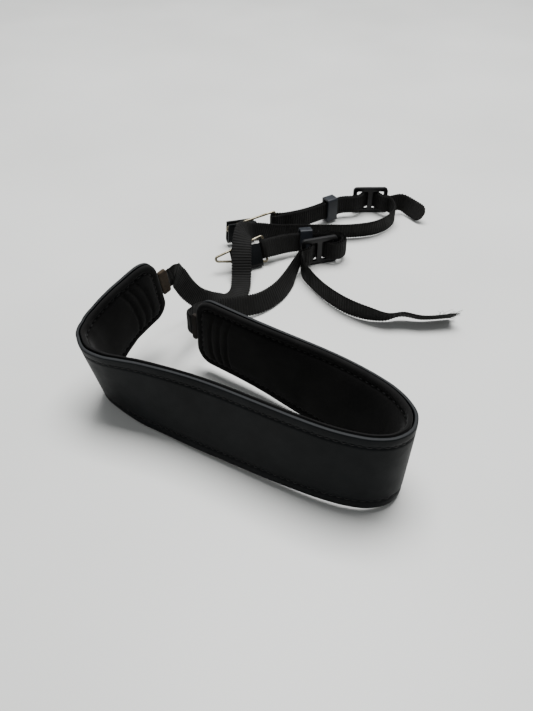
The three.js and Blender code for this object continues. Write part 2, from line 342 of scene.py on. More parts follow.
# %% [markdown]
# ## Node helpers
# A finish is a small chain of nodes: coordinates, a texture or two, a ramp for colour and for
# roughness, and a bump. These helpers keep each finish down to the lines that say what it is.

# %% Helpers that make finishes
MIX_FIRST, MIX_SECOND, MIX_RESULT = 6, 7, 2


class Finish:
    """A material with a short way of adding and wiring nodes."""

    def __init__(self, name, **shader):
        self.material = bpy.data.materials.new(name)
        self.material.use_nodes = True
        self.tree = self.material.node_tree
        self.shader = self.tree.nodes["Principled BSDF"]
        for key, value in shader.items():
            self.shader.inputs[key.replace("_", " ")].default_value = value

    def add(self, kind, settings=None, **inputs):
        """A node with its settings, and its sockets set to values or wired to other nodes."""
        node = self.tree.nodes.new("ShaderNode" + kind)
        for key, value in (settings or {}).items():
            setattr(node, key, value)
        for key, value in inputs.items():
            socket = node.inputs[key.replace("_", " ")]
            if isinstance(value, bpy.types.NodeSocket):
                self.tree.links.new(value, socket)
            else:
                socket.default_value = value
        return node

    def wire(self, source, socket):
        """Joins a node's result to one of the shader's sockets."""
        self.tree.links.new(source, self.shader.inputs[socket])

    def place(self, scale=(1, 1, 1), flat=False):
        """Texture place: the piece's own space in millimetres, or its unrolled map."""
        if flat:
            source, factor = self.add("UVMap", {"uv_map": "flat"}).outputs[0], 1
        else:
            source, factor = self.add("TexCoord").outputs["Object"], 1 / MM
        return self.add("Mapping", Vector=source, Scale=[factor * s for s in scale]).outputs[0]

    def noise(self, size, place=None, detail=4, roughness=0.55):
        """Noise whose blobs are about size millimetres across."""
        place = place or self.place()
        node = self.add("TexNoise", Vector=place, Scale=1 / size, Detail=detail, Roughness=roughness)
        return node.outputs["Fac"]

    def ramp(self, value, *stops):
        """Turns a value into colours or greys, given as (position, colour or grey) stops."""
        node = self.add("ValToRGB", Fac=value)
        elements = node.color_ramp.elements
        while len(elements) < len(stops):
            elements.new(0.5)
        for element, (position, colour) in zip(elements, stops):
            element.position = position
            element.color = (*colour, 1) if isinstance(colour, tuple) else (colour, colour, colour, 1)
        return node.outputs["Color"]

    def blend(self, share, first, second):
        """Mix of two textures, with share of the second one."""
        node = self.tree.nodes.new("ShaderNodeMix")
        node.data_type = "RGBA"
        node.inputs[0].default_value = share
        self.tree.links.new(first, node.inputs[MIX_FIRST])
        self.tree.links.new(second, node.inputs[MIX_SECOND])
        return node.outputs[MIX_RESULT]

    def bump(self, height, depth, strength=1.0, below=None):
        """Bump whose full height is depth millimetres."""
        node = self.add("Bump", Height=height, Strength=strength, Distance=depth * MM)
        if below is not None:
            self.tree.links.new(below, node.inputs["Normal"])
        return node.outputs[0]


print("helpers of a finish:", [name for name in vars(Finish) if not name.startswith("_")])

# %% [markdown]
# ## Smooth leather
# Smooth leather is a pressed grain under a thin coat, so it has fine cells, a satin gloss that
# varies a little, and faint rubs. Cells from a Voronoi texture give the pressed grain, because its
# borders make the fine creases between them, and two noises give the mottle and the rubs.

# %% Smooth leather
LEATHER_DARK = (0.0024, 0.0030, 0.0034)
LEATHER_LIGHT = (0.0052, 0.0063, 0.0071)
GRAIN_SIZE = 0.55


def smooth_leather():
    finish = Finish("smooth_leather", Specular_IOR_Level=0.1)
    mottle = finish.noise(24, detail=3)
    finish.wire(finish.ramp(mottle, (0.35, LEATHER_DARK), (0.68, LEATHER_LIGHT)), "Base Color")
    rubs = finish.noise(5, detail=6, roughness=0.7)
    finish.wire(finish.ramp(rubs, (0.3, 0.43), (0.75, 0.56)), "Roughness")
    place = finish.place()
    cells = finish.add("TexVoronoi", {"feature": "DISTANCE_TO_EDGE"}, Vector=place, Scale=1 / GRAIN_SIZE)
    grain = finish.ramp(cells.outputs["Distance"], (0.0, 0.0), (0.25, 1.0))
    pebble = finish.bump(grain, 0.035, 0.5)
    finish.wire(finish.bump(finish.noise(2.2, detail=5), 0.12, 0.35, below=pebble), "Normal")
    return finish.material


leather = smooth_leather()
print(leather.name, "nodes:", len(leather.node_tree.nodes))

# %% [markdown]
# A knife leaves the edge of the leather open: its fibres scatter light, so the edge is a little
# paler and much duller than the face. One fine noise drives its colour, roughness and bump together.

# %% Cut edge of the leather
EDGE_DARK = (0.007, 0.008, 0.009)
EDGE_LIGHT = (0.024, 0.026, 0.028)


def cut_edge():
    finish = Finish("cut_edge", Specular_IOR_Level=0.2)
    fibres = finish.noise(0.6, detail=6, roughness=0.7)
    finish.wire(finish.ramp(fibres, (0.3, EDGE_DARK), (0.75, EDGE_LIGHT)), "Base Color")
    finish.wire(finish.ramp(fibres, (0.3, 0.55), (0.8, 0.8)), "Roughness")
    finish.wire(finish.bump(fibres, 0.1, 0.6), "Normal")
    return finish.material


edge_finish = cut_edge()
print(edge_finish.name, "nodes:", len(edge_finish.node_tree.nodes))

# %% [markdown]
# The lining is napped, like suede: almost no gloss, a soft sheen where it turns away, and short
# upright strokes left by brushing. Stretching a noise along the height makes those strokes without
# modelling any hair, which would be far too fine to see here.

# %% Napped lining
NAP_DARK = (0.0018, 0.0018, 0.0019)
NAP_LIGHT = (0.0085, 0.0083, 0.008)


def napped_lining():
    finish = Finish("napped_lining", Specular_IOR_Level=0.12, Sheen_Weight=0.04, Sheen_Roughness=0.5)
    brushed = finish.noise(1.1, finish.place((1, 1, 0.35)), detail=7, roughness=0.72)
    patches = finish.noise(14, detail=2)
    nap = finish.blend(0.5, brushed, patches)
    finish.wire(finish.ramp(nap, (0.32, NAP_DARK), (0.7, NAP_LIGHT)), "Base Color")
    finish.wire(finish.ramp(brushed, (0.3, 0.85), (0.7, 1.0)), "Roughness")
    fine = finish.bump(finish.noise(0.28, detail=3), 0.12, 0.6)
    finish.wire(finish.bump(brushed, 0.2, 0.5, below=fine), "Normal")
    return finish.material


lining_finish = napped_lining()
print(lining_finish.name, "nodes:", len(lining_finish.node_tree.nodes))

# %% [markdown]
# The small end tabs are leather without a coat, brown and matt, and the right one is worn darker.
# The thread is waxed, so it shines a little more than the leather that it sinks into. Both are one
# noise each, at the size of a fibre bundle or of the thread's twist.

# %% Raw leather and thread
THREAD_DARK = (0.0012, 0.0012, 0.0014)
THREAD_LIGHT = (0.004, 0.004, 0.0045)


def raw_leather(name, dark, light):
    finish = Finish(name, Specular_IOR_Level=0.2)
    hide = finish.noise(1.6, detail=7, roughness=0.7)
    finish.wire(finish.ramp(hide, (0.3, dark), (0.72, light)), "Base Color")
    finish.wire(finish.ramp(hide, (0.3, 0.7), (0.7, 0.9)), "Roughness")
    finish.wire(finish.bump(hide, 0.25, 0.7), "Normal")
    return finish.material


def waxed_thread():
    finish = Finish("waxed_thread", Specular_IOR_Level=0.4)
    twist = finish.noise(0.35, detail=4)
    finish.wire(finish.ramp(twist, (0.3, THREAD_DARK), (0.75, THREAD_LIGHT)), "Base Color")
    finish.wire(finish.ramp(twist, (0.3, 0.5), (0.7, 0.7)), "Roughness")
    finish.wire(finish.bump(twist, 0.06, 0.6), "Normal")
    return finish.material


raw_finish = {
    "left": raw_leather("raw_leather", (0.016, 0.011, 0.007), (0.062, 0.044, 0.028)),
    "right": raw_leather("worn_raw_leather", (0.006, 0.005, 0.004), (0.020, 0.015, 0.011)),
}
thread_finish = waxed_thread()
print("finishes so far:", len(bpy.data.materials))

# %% [markdown]
# The straps' heavy ribs are real geometry. The finish adds the fine threads that cross them, as
# bands on the unrolled strap, which follow every bend, and patches of wear that lighten it.

# %% Nylon webbing
NYLON_DARK = (0.0016, 0.0016, 0.0016)
NYLON_LIGHT = (0.0072, 0.007, 0.0062)


def nylon_webbing():
    """Fine threads in rows along the strap, with lighter and duller patches of wear."""
    finish = Finish("nylon_webbing", Specular_IOR_Level=0.16, Sheen_Weight=0.03, Sheen_Roughness=0.4)
    flat = finish.place(flat=True)
    warp = finish.add("TexWave", {"bands_direction": "Y"}, Vector=flat, Scale=0.9, Distortion=0.6, Detail=2)
    threads = warp.outputs["Fac"]
    wear = finish.noise(7, detail=5)
    tone = finish.blend(0.4, threads, wear)
    finish.wire(finish.ramp(tone, (0.25, NYLON_DARK), (0.8, NYLON_LIGHT)), "Base Color")
    finish.wire(finish.ramp(wear, (0.3, 0.62), (0.7, 0.82)), "Roughness")
    fibre = finish.bump(finish.noise(0.18, detail=2), 0.05, 0.5)
    finish.wire(finish.bump(threads, 0.09, 0.6, below=fibre), "Normal")
    return finish.material


nylon_finish = nylon_webbing()
print(nylon_finish.name, "nodes:", len(nylon_finish.node_tree.nodes))

# %% [markdown]
# Sliders and keepers are moulded plastic with a faint haze from handling: the sliders nearly
# black, the keepers slate blue. The rings are plated wire whose plating has dulled to a warm
# grey, so the same noise that darkens the metal also makes it rougher.

# %% Plastics and wire
GLOSS_SPREAD = 0.14
TARNISHED = (0.12, 0.10, 0.062)
PLATED = (0.34, 0.31, 0.24)


def moulded_plastic(name, dark, light, gloss):
    finish = Finish(name, Specular_IOR_Level=0.3)
    haze = finish.noise(4, detail=4)
    finish.wire(finish.ramp(haze, (0.3, dark), (0.75, light)), "Base Color")
    finish.wire(finish.ramp(haze, (0.3, gloss), (0.8, gloss + GLOSS_SPREAD)), "Roughness")
    finish.wire(finish.bump(finish.noise(0.25, detail=2), 0.02, 0.4), "Normal")
    return finish.material


def plated_wire():
    finish = Finish("plated_wire", Metallic=1.0)
    tarnish = finish.noise(3.2, detail=6, roughness=0.65)
    finish.wire(finish.ramp(tarnish, (0.35, TARNISHED), (0.65, PLATED)), "Base Color")
    finish.wire(finish.ramp(tarnish, (0.3, 0.5), (0.75, 0.26)), "Roughness")
    finish.wire(finish.bump(finish.noise(0.5, detail=3), 0.03, 0.5), "Normal")
    return finish.material


slider_finish = moulded_plastic("slider_plastic", (0.0022, 0.0022, 0.0026), (0.005, 0.005, 0.006), 0.42)
keeper_finish = moulded_plastic("keeper_plastic", (0.0085, 0.0105, 0.0145), (0.0145, 0.0175, 0.0235), 0.45)
wire_finish = plated_wire()
print("finishes:", len(bpy.data.materials))

# %% [markdown]
# ## The pad's two layers
# Each layer is a flat blank with round corners, pressed along a seam that runs parallel to its
# edge. Knowing how far each point is from the cut edge is enough to shape it: the edge is
# rounded, the seam sinks, and the lining swells a little over its padding inside the seam.

# %% Distance from the blank's edge
def edge_distance(x, y, length, width, corner):
    """Distance in from the outline of a blank with round corners; x runs from one end."""
    dx = np.abs(x - length / 2) - (length / 2 - corner)
    dy = np.abs(y) - (width / 2 - corner)
    outside = np.hypot(np.maximum(dx, 0), np.maximum(dy, 0))
    return corner - outside - np.minimum(np.maximum(dx, dy), 0)


def dip(distance, at, width):
    return np.exp(-(((distance - at) / width) ** 2))


print("edge distance at the middle:", edge_distance(pad.length / 2, 0, pad.length, PAD_WIDTH, PAD_CORNER))

# %% [markdown]
# The leather is firm, so its face only crowns slightly and sinks where the thread pulls it down.
# The lining is padded, so it swells from its seam, ripples a little where the padding has settled,
# and dips along three curved channels sewn across each end. A formula for the face's height is
# enough for both, because the pad is too thin and stiff for its padding to be simulated.

# %% The faces of the two layers
SEAM = 4.2
SEAM_DEPTH, SEAM_BREADTH = 0.55, 0.6
CROWN, CROWN_REACH = 0.14, 12
RIM_DROP, RIM_BREADTH = 0.1, 1.6

LINING_SEAM = 3.8
LINING_SEAM_DEPTH, LINING_SEAM_BREADTH = 0.75, 0.7
SWELL, SWELL_REACH = 0.75, 4.5
RIPPLE, RIPPLE_REACH = 0.09, 6
LINING_DROP = 0.18

CHANNELS = (9.5, 14.2, 18.8)
CHANNEL_BREADTH, CHANNEL_BOW, CHANNEL_HALF_LENGTH, CHANNEL_FADE = 0.7, 5.5, 14.2, 2.5


def channel_dips(x, y, length):
    """Curved channels across each end of the lining. Their ends bow away from the pad's end."""
    from_end = np.minimum(x, length - x)
    bow = CHANNEL_BOW * (np.abs(y) / (PAD_WIDTH / 2)) ** 2.6
    inside = 1 / (1 + np.exp((np.abs(y) - CHANNEL_HALF_LENGTH) * CHANNEL_FADE))
    return sum(dip(from_end - bow, at, CHANNEL_BREADTH) for at in CHANNELS) * inside


def leather_face(x, y, inset):
    crown = CROWN * np.clip(inset / CROWN_REACH, 0, 1) ** 0.5
    return crown - SEAM_DEPTH * dip(inset, SEAM, SEAM_BREADTH) - RIM_DROP * dip(inset, 0, RIM_BREADTH)


def lining_face(x, y, inset):
    swell = SWELL * np.clip((inset - LINING_SEAM) / SWELL_REACH, 0, 1) ** 0.6
    waves = np.sin(x / 3.7 + 1.3 * np.sin(y / 4.3))
    ripple = RIPPLE * waves * np.clip((inset - LINING_SEAM) / RIPPLE_REACH, 0, 1)
    sunk = LINING_SEAM_DEPTH * dip(inset, LINING_SEAM, LINING_SEAM_BREADTH) + channel_dips(x, y, pad.length)
    return swell + ripple - sunk - LINING_DROP


centre_height = lining_face(np.array([pad.length / 2]), np.array([0.0]), np.array([PAD_WIDTH / 2]))[0]
print("the lining stands proud at its middle by, mm:", round(float(centre_height), 2))

# %% [markdown]
# A blank is made flat, as a grid that is finer near its edges where the seam and the rounding
# are, and each grid point is then carried to its place along the bent pad. Bending the flat
# blank keeps the leather's length, as real leather does, and gives a flat map for nothing.

# %% Bend a blank along the pad
END_PLACES = np.array([0.0, 0.25, 0.7, 1.4, 2.4, 3.2, 3.8, 4.4, 5.0, 5.8])
RIM_PLACES = np.array([0.0, 0.12, 0.35, 0.8, 1.5, 2.3, 3.0, 3.5, 3.9, 4.3, 4.7, 5.2, 5.7, 6.3, 7.2])
EVEN_FROM_END, EVEN_STEP = 6.4, 0.9
EVEN_FROM_RIM, EVEN_ACROSS = 8.4, 19
BACK_ROUNDING = 0.6


def blank_grid():
    """Places along the blank, and shares of its half width across it."""
    even_count = int((pad.length - 2 * EVEN_FROM_END) / EVEN_STEP)
    even = np.linspace(EVEN_FROM_END, pad.length - EVEN_FROM_END, even_count)
    along = np.concatenate([END_PLACES, even, pad.length - END_PLACES[::-1]])
    inner = np.linspace(EVEN_FROM_RIM, PAD_WIDTH - EVEN_FROM_RIM, EVEN_ACROSS)
    across = np.concatenate([RIM_PLACES, inner, PAD_WIDTH - RIM_PLACES[::-1]]) / PAD_WIDTH * 2 - 1
    return along, across


def bent_layer(name, offset, thickness, face, outward, roll, material, node):
    """One layer of the pad. outward is 1 when its shown face is the ribbon's out side, and roll
    is the radius that its shown edge is rounded to."""
    along, across_share = blank_grid()
    middle, _, across, out = pad.at(along)
    half = PAD_WIDTH / 2 - corner_inset(along, pad.length, PAD_CORNER)
    x = np.repeat(along[:, None], len(across_share), 1)
    y = half[:, None] * across_share
    inset = np.maximum(edge_distance(x, y, pad.length, PAD_WIDTH, PAD_CORNER), 0)
    rounding = np.maximum(roll - inset, 0)
    rounding = roll - np.sqrt(np.maximum(roll**2 - rounding**2, 0))
    shown = thickness / 2 - rounding + face(x, y, inset)
    hidden = -thickness / 2 + BACK_ROUNDING * np.minimum(rounding, thickness / 3)
    sheets = [
        middle[:, None] + across[:, None] * y[..., None] + out[:, None] * (offset + outward * z)[..., None]
        for z in (shown, hidden)
    ]
    rings = np.concatenate([sheets[0], sheets[1][:, ::-1]], axis=1)
    flat = np.concatenate([np.stack([x, y], -1), np.stack([x, y], -1)[:, ::-1]], axis=1)
    points, faces = skin_rings(rings)
    return add_piece(name, points, faces, material, node, flat.reshape(-1, 2))


leather_piece = bent_layer(
    "pad_leather", LEATHER_OFFSET, LEATHER, leather_face, 1, 0.55, leather, "neck_leather",
)
lining_piece = bent_layer(
    "pad_lining", LINING_OFFSET, LINING, lining_face, -1, 1.5, lining_finish, "neck_lining",
)

# %% [markdown]
# The cut edge gets its finish as a second material on the faces that look sideways, which is all
# it needs, so no edge strip has to be modelled. A face looks sideways when its direction is well
# away from the pad's own out direction at the nearest place along it.

# %% Give the cut edge its own finish
PLACES_LOOKED_AT = 900
FACING_OUT = 0.6


def mark_cut_edge(piece, material):
    piece.data.materials.append(material)
    middle, _, _, out = pad.at(np.linspace(0, pad.length, PLACES_LOOKED_AT))
    middle = (middle + SHIFT) * MM
    marked = 0
    for polygon in piece.data.polygons:
        nearest = np.argmin(((middle - np.array(polygon.center)) ** 2).sum(1))
        if abs(float(np.dot(out[nearest], polygon.normal))) < FACING_OUT:
            polygon.material_index = 1
            marked += 1
    print(piece.name, "cut edge faces:", marked)


mark_cut_edge(leather_piece, edge_finish)

# %% [markdown]
# ## Stitches
# A lockstitch shows as short threads that rise from one hole and sink into the next. Modelled
# threads catch the light along the whole seam, which a printed dash never does.

# %% Threads along the seam
CORNER_CUTS = 13
STITCH_PITCH = 3.2


def seam_path(inset, pitch):
    """Needle holes along a line parallel to the blank's edge, as (x, y) pairs in order."""
    length, width, corner = pad.length, PAD_WIDTH, PAD_CORNER
    radius = corner - inset
    right, top = length / 2 - corner, width / 2 - corner
    corners = [(right, top, 0), (-right, top, 90), (-right, -top, 180), (right, -top, 270)]
    outline = []
    for cx, cy, start in corners:
        for angle in np.radians(np.linspace(start, start + 90, CORNER_CUTS)):
            outline.append((cx + radius * math.cos(angle), cy + radius * math.sin(angle)))
    outline = np.array(outline + outline[:1])
    travelled = np.concatenate([[0], np.cumsum(np.linalg.norm(np.diff(outline, axis=0), axis=1))])
    places = np.linspace(0, travelled[-1], int(travelled[-1] / pitch) + 1)
    x = np.interp(places, travelled, outline[:, 0]) + length / 2
    y = np.interp(places, travelled, outline[:, 1])
    return np.stack([x, y], 1)


print("holes along the leather's seam:", len(seam_path(SEAM, STITCH_PITCH)))

# %% [markdown]
# One stitch is a short thread whose ends dive under the surface. It is thinner where it dives,
# because the hole pinches it. All the stitches of a seam are joined as one piece.

# %% Sew the seams
STITCH_SIDES, STITCH_CUTS = 6, 6
STITCH_ARCH, STITCH_SUNK = 1.7, 0.75
STITCH_PINCH = 0.45


def thread(start, finish, lift, radius):
    """One stitch: a thread that rises out of the leather and sinks back into it."""
    share = np.linspace(0, 1, STITCH_CUTS + 1)
    along = finish - start
    side = unit(np.cross(lift, along))
    rise = np.sin(np.pi * share) ** 0.6
    angles = np.linspace(0, 2 * math.pi, STITCH_SIDES, endpoint=False)
    rings = []
    for s, r in zip(share, rise):
        centre = start + along * s + lift * (r - STITCH_SUNK) * radius * STITCH_ARCH
        size = radius * (1 - STITCH_PINCH + STITCH_PINCH * r)
        rings.append([centre + size * (side * math.cos(a) + lift * math.sin(a)) for a in angles])
    return skin_rings(rings)


def on_pad(x, y, height):
    middle, _, across, out = pad.at(x)
    return middle + across * y[:, None] + out * height[:, None], out


def sew(name, inset, stitch, radius, level, outward):
    """A row of stitches. level is where the thread lies, measured out from the pad's middle."""
    holes = seam_path(inset, STITCH_PITCH)
    gap = (STITCH_PITCH - stitch) / STITCH_PITCH / 2
    first = holes[:-1] + (holes[1:] - holes[:-1]) * gap
    second = holes[1:] - (holes[1:] - holes[:-1]) * gap
    starts, lifts = on_pad(first[:, 0], first[:, 1], np.full(len(first), level))
    ends, _ = on_pad(second[:, 0], second[:, 1], np.full(len(second), level))
    parts = [thread(a, b, outward * n, radius) for a, b, n in zip(starts, ends, lifts)]
    points, faces = join_parts(parts)
    return add_piece(name, points, faces, thread_finish)


leather_level = LEATHER_OFFSET + LEATHER / 2 - 0.34
lining_level = LINING_OFFSET - LINING / 2 + 0.6
sew("leather_stitches", SEAM, stitch=2.5, radius=0.3, level=leather_level, outward=1)
sew("lining_stitches", LINING_SEAM, stitch=2.4, radius=0.28, level=lining_level, outward=-1)

# %% [markdown]
# ## Narrow straps
# Each strap leaves the pad, threads its slider, runs out to the wire ring, turns round it and
# comes back through the slider to a free end. The doubled part is worked out from one middle line:
# two layers a pitch apart, which swing over the slider's middle bar together. Only the
# single runs are lists of places.

# %% The straps' routes
WEB_WIDTH, WEB_THICKNESS, WEB_PITCH = 12, 1.1, 2.1
TAB_LENGTH = {"left": 5, "right": 3}
STRAIGHT_START = {"left": 4, "right": 1}
SLIDER_LENGTH, SLIDER_BAR, WEAVE, RING_TURN = 23.4, 2.6, 3.4, 2.3
SLIDER_SETBACK = 2
RING_SETBACK = 5
LAYER_STEP = 2.4


def tab_rows(side, place, facing):
    """The first rows of a strap, just past the pad's end tab."""
    middle, along, _, _ = pad.at(place)
    lean = PAD_FOLDS[0, 3] if facing < 0 else PAD_FOLDS[-1, 3]
    past = 2 * LAYER_GAP + TAB_LENGTH[side]
    return [
        (*(middle[0] + facing * along[0] * (past + more)), lean * facing)
        for more in (0, STRAIGHT_START[side])
    ]


def smoothstep(value, low, high):
    """0 below low, 1 above high, and an even ease between them."""
    share = np.clip((value - low) / (high - low), 0, 1)
    return share * share * (3 - 2 * share)


def strap_route(start, run, loop_rows, tail, swing):
    """Pad end to slider, out along the doubled part, round the ring, and back to the free end.
    swing is the side of the slider's middle bar. Returns the route and the doubled part's line."""
    loop = Route(loop_rows)
    slider_at = SLIDER_LENGTH / 2 + SLIDER_SETBACK
    reach = SLIDER_LENGTH / 2 - SLIDER_BAR / 2
    places = np.arange(0, loop.length - RING_SETBACK, LAYER_STEP)
    middle, _, _, out = loop.at(places)
    rows = np.interp(places, loop.travelled, loop.shares) * (len(loop.rows) - 1)
    leans = smooth_column(loop.rows[:, 3], rows)
    from_slider = np.abs(places - slider_at) / reach
    over = np.cos(np.pi * np.minimum(from_slider, 1))
    sway = swing * WEAVE * over * (1 - smoothstep(from_slider, 1.15, 2.3))
    layers = {}
    for layer in (-1, 1):
        spots = middle + out * (layer * WEB_PITCH / 2 + sway)[:, None]
        layers[layer] = [(*spot, -layer * lean) for spot, lean in zip(spots, leans)]
    end, along, _, end_out = loop.at(loop.length)
    end_lean = loop.rows[-1, 3]
    turn = []
    for angle in (-90, -45, 0, 45, 90):
        spin = math.radians(angle)
        spot = end[0] + along[0] * RING_TURN * math.cos(spin) + end_out[0] * RING_TURN * math.sin(spin)
        turn.append((*spot, -end_lean * angle / 90))
    return Route([*start, *run, *layers[-1], *turn, *layers[1][::-1], *tail]), loop


# x, y, z, lean
LEFT_RUN = [
    (-45.5, 21.5, 34.5, 12), (-42, 28.5, 22, 6), (-36.5, 36, 11, -12), (-29, 42, 5, -50),
    (-21, 47.5, 2.4, -80), (-16, 57, 1.4, -90), (-15, 68, 4, -90), (-15, 78, 14, -88),
    (-14.5, 87, 19.5, -72), (-13.5, 95, 20.5, -42), (-10, 102.5, 15, -18), (-3, 109, 11, -4),
    (7, 114.5, 7.4, 5), (22, 117.5, 6.3, 10), (38, 118, 6.1, 12), (55, 118.5, 6.1, 12),
    (70, 122, 6.2, 8), (80, 129.5, 6.4, 2), (85.5, 139, 7.4, 0),
]
LEFT_LOOP = [
    (84, 152, 9.2, 0), (71, 155, 9.2, 0), (58, 152, 9.2, 0), (42, 142.5, 9.2, 0),
    (28, 133.5, 8.8, 0), (16, 127, 9.2, 0), (5, 122.5, 10, 0),
]
LEFT_TAIL = [(92, 153.5, 8, -10), (98.5, 148, 6.6, -28), (105, 138.5, 5.8, -36)]
RIGHT_RUN = [
    (-39.5, -1.5, 24.5, 0), (-37.5, 4, 23, -4), (-33.5, 14, 18, -10), (-27, 23.5, 12.5, -16),
    (-15, 32, 8.2, -24), (-3, 39.5, 6.2, -28), (6.5, 50, 5.8, -28), (13, 63, 5.8, -24),
    (17, 74, 7, -10),
]
RIGHT_LOOP = [
    (20, 83.5, 9.2, 0), (31, 89, 9.2, 0), (42, 92.5, 9.2, 0), (46, 97.5, 9.2, 0),
    (40, 102, 9.2, 2), (27, 102, 8.6, 10), (13, 98.5, 9, 24), (-1, 92, 9.2, 32),
]
RIGHT_TAIL = [
    (22, 72, 7, -4), (27, 61, 6.2, 0), (34.5, 48, 6.2, 2), (45, 36, 6.2, 4), (56, 29, 6.2, 14),
    (66, 26.5, 5.6, 32), (75, 27.5, 6.6, 42), (86, 26, 5.4, 44), (103, 28, 5.2, 42),
]
left_route, left_loop = strap_route(tab_rows("left", 0, -1), LEFT_RUN, LEFT_LOOP, LEFT_TAIL, 1)
right_route, right_loop = strap_route(tab_rows("right", pad.length, 1), RIGHT_RUN, RIGHT_LOOP, RIGHT_TAIL, -1)
print("strap lengths, mm:", round(left_route.length), round(right_route.length))

# %% [markdown]
# The webbing is woven with heavy cross ribs. Each rib is a small swell across the face, and the
# strap is a little wider at each rib, which gives the scalloped outline. The ribs are real
# geometry because they show against the pale table at the strap's edge. The two faces are half a
# pitch out of step, as in a plain weave.

# %% Weave a strap
RIB_PITCH, RIB_CUTS = 1.7, 6
RIB_HEIGHT = 0.24
RIB_GROUND = 0.15
SCALLOP, SCALLOP_GROUND = 0.5, 0.42
SELVEDGE = 0.16


def webbing_section(count=9):
    """Places round the section, one face and back, as (across share, face)."""
    across = np.sin(np.linspace(-math.pi / 2, math.pi / 2, count + 2))
    return [(a, 1) for a in across] + [(a, -1) for a in across[::-1]]


def weave_strap(name, route, node, tail_corner):
    """A ribbed strap along its route. tail_corner rounds its free end."""
    places = np.arange(0, route.length, RIB_PITCH / RIB_CUTS)
    middle, _, across, out = route.at(places)
    to_end = route.length - places
    short = np.maximum(tail_corner - to_end, 0)
    inset = tail_corner - np.sqrt(np.maximum(tail_corner**2 - short**2, 0))
    rib = 0.5 + 0.5 * np.cos(2 * math.pi * places / RIB_PITCH)
    other = 1 - rib
    half = WEB_WIDTH / 2 - inset - SCALLOP_GROUND + SCALLOP * rib**0.7
    ground = WEB_THICKNESS / 2 - RIB_GROUND
    columns, flats = [], []
    for share, face in webbing_section():
        edge = np.clip((1 - abs(share)) / SELVEDGE, 0, 1) ** 0.5
        height = face * edge * (ground + RIB_HEIGHT * (rib if face > 0 else other))
        columns.append(middle + across * (half * share)[:, None] + out * height[:, None])
        flats.append(np.stack([places, half * share], 1))
    points, faces = skin_rings(np.stack(columns, 1))
    flat = np.stack(flats, 1).reshape(-1, 2)
    return add_piece(name, points, faces, nylon_finish, node, flat)


weave_strap("left_strap", left_route, "left_webbing", tail_corner=5.5)
weave_strap("right_strap", right_route, "right_webbing", tail_corner=0)

# %% [markdown]
# The right strap was never sealed, so its cut end frays. Loose fibres leave the last rib in a
# fan, and each has its own length and bend. A fixed seed gives the same fray each run.

# %% Frayed end
FIBRE_CUTS, FIBRE_SIDES = 7, 3
END_FIBRES, SIDE_FIBRES = 70, 12
FRAY_HALF_WIDTH = 5.6
NEARLY_UP = UP + 0.01


def loose_fibre(start, heading, length, curl, radius):
    """A bent tapering fibre. NEARLY_UP keeps its section from folding where it stands upright."""
    share = np.linspace(0, 1, FIBRE_CUTS + 1)[:, None]
    line = start + heading * length * share + curl * length * share**2
    angles = np.linspace(0, 2 * math.pi, FIBRE_SIDES, endpoint=False)
    forward = unit(np.gradient(line, axis=0))
    side = unit(np.cross(forward, NEARLY_UP))
    lift = np.cross(side, forward)
    rings = [
        [p + r * (s * math.cos(a) + u * math.sin(a)) for a in angles]
        for p, s, u, r in zip(line, side, lift, np.linspace(radius, radius * 0.5, FIBRE_CUTS + 1))
    ]
    return skin_rings(rings)


def fray(name, route):
    """A fan of fibres from the cut end, and a few from the edge just before it."""
    chance = np.random.default_rng(11)
    middle, along, across, out = (v[0] for v in route.at(route.length))
    parts = []
    for _ in range(END_FIBRES):
        start = middle + across * chance.uniform(-FRAY_HALF_WIDTH, FRAY_HALF_WIDTH)
        start = start + out * chance.uniform(-0.3, 0.3) - along * 0.6
        heading = unit(along + across * chance.normal(0, 0.18) + out * chance.normal(0, 0.14))
        length = chance.uniform(1.5, 4.5)
        curl = across * chance.normal(0, 0.2) + out * chance.normal(0, 0.2)
        parts.append(loose_fibre(start, heading, length, curl, 0.09))
    for _ in range(SIDE_FIBRES):
        back = chance.uniform(0, 10)
        start = middle - along * back + across * FRAY_HALF_WIDTH
        heading = unit(across * 0.9 + along * chance.uniform(-0.5, 0.4) + out * chance.normal(0, 0.2))
        length = chance.uniform(3, 6.5)
        curl = along * chance.normal(0, 0.5)
        parts.append(loose_fibre(start, heading, length, curl, 0.1))
    points, faces = join_parts(parts)
    return add_piece(name, points, faces, nylon_finish, flat=points[:, :2])


fray("right_strap_fray", right_route)

# %% [markdown]
# ## Sliders, keepers and tabs
# Moulded and cut pieces already have their true shape in the frame. What they lack is the small
# rounding that every real edge has and that catches light. The packed shape is copied, its flat
# faces are merged, and a bevel rounds the edges between them.

# %% Round the edges of a packed shape
MERGED_WITHIN = 1e-6
FLAT_ANGLE = math.radians(2)
EDGE_ANGLE = math.radians(40)
SHADED_ANGLE = math.radians(35)
ROUNDING_CUTS = 3


def rounded_copy(node, name, material, radius):
    """A copy of a packed piece whose edges are rounded to a radius in millimetres."""
    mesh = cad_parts[node].data.copy()
    mesh.name = name
    work = bmesh.new()
    work.from_mesh(mesh)
    bmesh.ops.remove_doubles(work, verts=work.verts, dist=MERGED_WITHIN)
    bmesh.ops.dissolve_limit(work, angle_limit=FLAT_ANGLE, verts=work.verts, edges=work.edges)
    bmesh.ops.bevel(
        work,
        geom=[e for e in work.edges if e.is_manifold and e.calc_face_angle(0) > EDGE_ANGLE],
        offset=radius * MM,
        segments=ROUNDING_CUTS,
        profile=0.6,
        affect="EDGES",
        clamp_overlap=True,
    )
    bmesh.ops.triangulate(work, faces=[f for f in work.faces if len(f.verts) > 4])
    work.to_mesh(mesh)
    work.free()
    mesh.materials.clear()
    mesh.materials.append(material)
    piece = hand_over(name, mesh, node)
    mesh.set_sharp_from_angle(angle=SHADED_ANGLE)
    return piece


